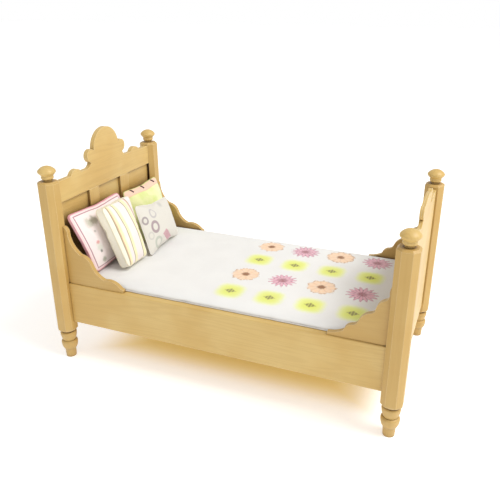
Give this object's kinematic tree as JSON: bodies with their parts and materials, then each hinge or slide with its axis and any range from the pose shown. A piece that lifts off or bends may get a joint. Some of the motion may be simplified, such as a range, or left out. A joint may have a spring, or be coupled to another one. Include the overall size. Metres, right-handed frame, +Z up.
{
  "type": "miniature four poster bed",
  "caption": "Dolls' house bed in pine with low finial posts, a carved headboard and footboard, side rails with scalloped brackets, a mattress, a flowered coverlet and loose pillows.",
  "frame": {"origin": "on the floor, under the middle of the four posts", "axes": "+X from the headboard to the footboard, +Z up, +Y to the bed's right side as seen from the foot"},
  "size_m": [0.1688, 0.0952, 0.1079],
  "materials": {
    "pine": "satin",
    "mattress_ticking": "matte",
    "coverlet_cotton": "matte",
    "pillow_pink_cotton": "matte",
    "pillow_striped_cotton": "matte",
    "pillow_ringed_cotton": "matte",
    "pillow_green_cotton": "matte"
  },
  "bodies": {
    "frame": {"base_board": "pine", "foot_finial_left": "pine", "foot_finial_right": "pine", "foot_post_left": "pine", "foot_post_right": "pine", "foot_wing_left": "pine", "foot_wing_right": "pine", "footboard_back": "pine", "footboard_bottom_rail": "pine", "footboard_crest_rail": "pine", "footboard_muntin_left": "pine", "footboard_muntin_right": "pine", "head_finial_left": "pine", "head_finial_right": "pine", "head_post_left": "pine", "head_post_right": "pine", "head_wing_left": "pine", "head_wing_right": "pine", "headboard_back": "pine", "headboard_bottom_rail": "pine", "headboard_crest_rail": "pine", "headboard_muntin_left": "pine", "headboard_muntin_right": "pine", "ledge_left": "pine", "ledge_right": "pine", "side_rail_left": "pine", "side_rail_right": "pine"},
    "mattress": {"mattress": "mattress_ticking"},
    "coverlet": {"coverlet": "coverlet_cotton"},
    "pillow_pink_border": {"pillow_pink_border": "pillow_pink_cotton"},
    "pillow_striped": {"pillow_striped": "pillow_striped_cotton"},
    "pillow_rings": {"pillow_rings": "pillow_ringed_cotton"},
    "pillow_green": {"pillow_green": "pillow_green_cotton"}
  },
  "joints": [
    {"name": "mattress_lift", "type": "slide", "parent": "frame", "child": "mattress", "axis": [0, 0, 1], "range_m": [0, 0.085]},
    {"name": "coverlet_lift", "type": "slide", "parent": "mattress", "child": "coverlet", "axis": [0, 0, 1], "range_m": [0, 0.03]},
    {"name": "pillow_green_lift", "type": "slide", "parent": "coverlet", "child": "pillow_green", "axis": [0, 0, 1], "range_m": [0, 0.04]},
    {"name": "pillow_pink_border_lift", "type": "slide", "parent": "pillow_green", "child": "pillow_pink_border", "axis": [0, 0, 1], "range_m": [0, 0.04]},
    {"name": "pillow_striped_lift", "type": "slide", "parent": "pillow_pink_border", "child": "pillow_striped", "axis": [0, 0, 1], "range_m": [0, 0.04]},
    {"name": "pillow_rings_lift", "type": "slide", "parent": "pillow_pink_border", "child": "pillow_rings", "axis": [0, 0, 1], "range_m": [0, 0.04]}
  ]
}
